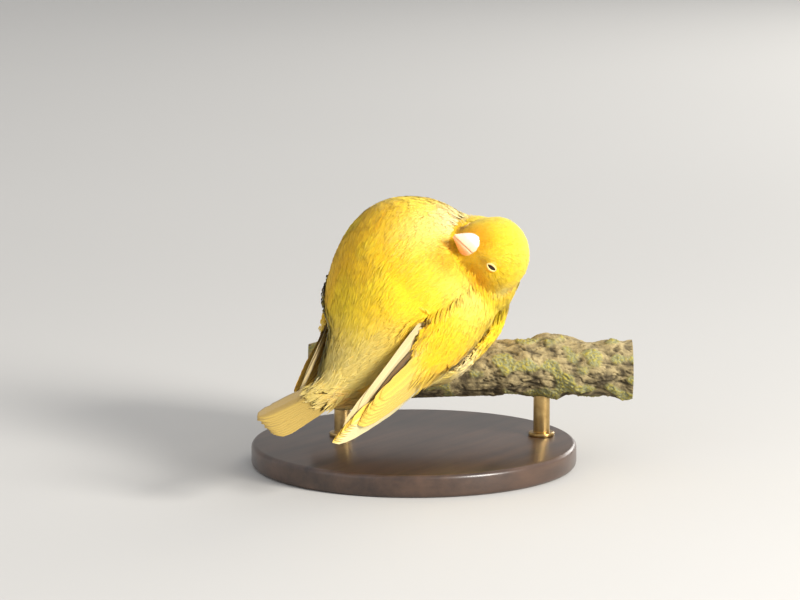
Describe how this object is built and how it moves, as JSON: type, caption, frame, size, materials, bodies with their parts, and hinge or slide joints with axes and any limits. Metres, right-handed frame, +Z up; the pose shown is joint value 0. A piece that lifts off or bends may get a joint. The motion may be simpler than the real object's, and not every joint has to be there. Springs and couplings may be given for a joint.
{
  "type": "canary",
  "caption": "Dozing, fluffed-up yellow canary on a cut length of branch, held by rods on a round display base; its head is turned back over its shoulder.",
  "frame": {"origin": "middle of the underside of the round display base", "axes": "+Z up, +X the way the bird's breast faces, +Y the bird's left side; the tail points along -X"},
  "size_m": [0.1171, 0.0908, 0.0719],
  "materials": {
    "plumage": "soft feathers, golden yellow to lemon",
    "flight_feathers": "smooth vanes, pale yellow with whitish edges",
    "bill": "horn, pale flesh pink",
    "eye": "wet, very dark brown",
    "legs": "scaly skin, pale flesh",
    "bark": "rough bark with lichen, sawn ends",
    "stand": "dark satin lacquer",
    "rods": "satin"
  },
  "bodies": {
    "root": {"head": "plumage", "neck": "plumage", "torso": "plumage", "tail": "flight_feathers", "wing_left": "flight_feathers", "wing_right": "flight_feathers", "bill_upper": "bill", "bill_lower": "bill", "eye_left": "eye", "eye_right": "eye", "leg_left": "legs", "leg_right": "legs", "perch": "bark", "stand_base": "stand", "stand_rod_1": "rods", "stand_rod_2": "rods"}
  },
  "joints": []
}
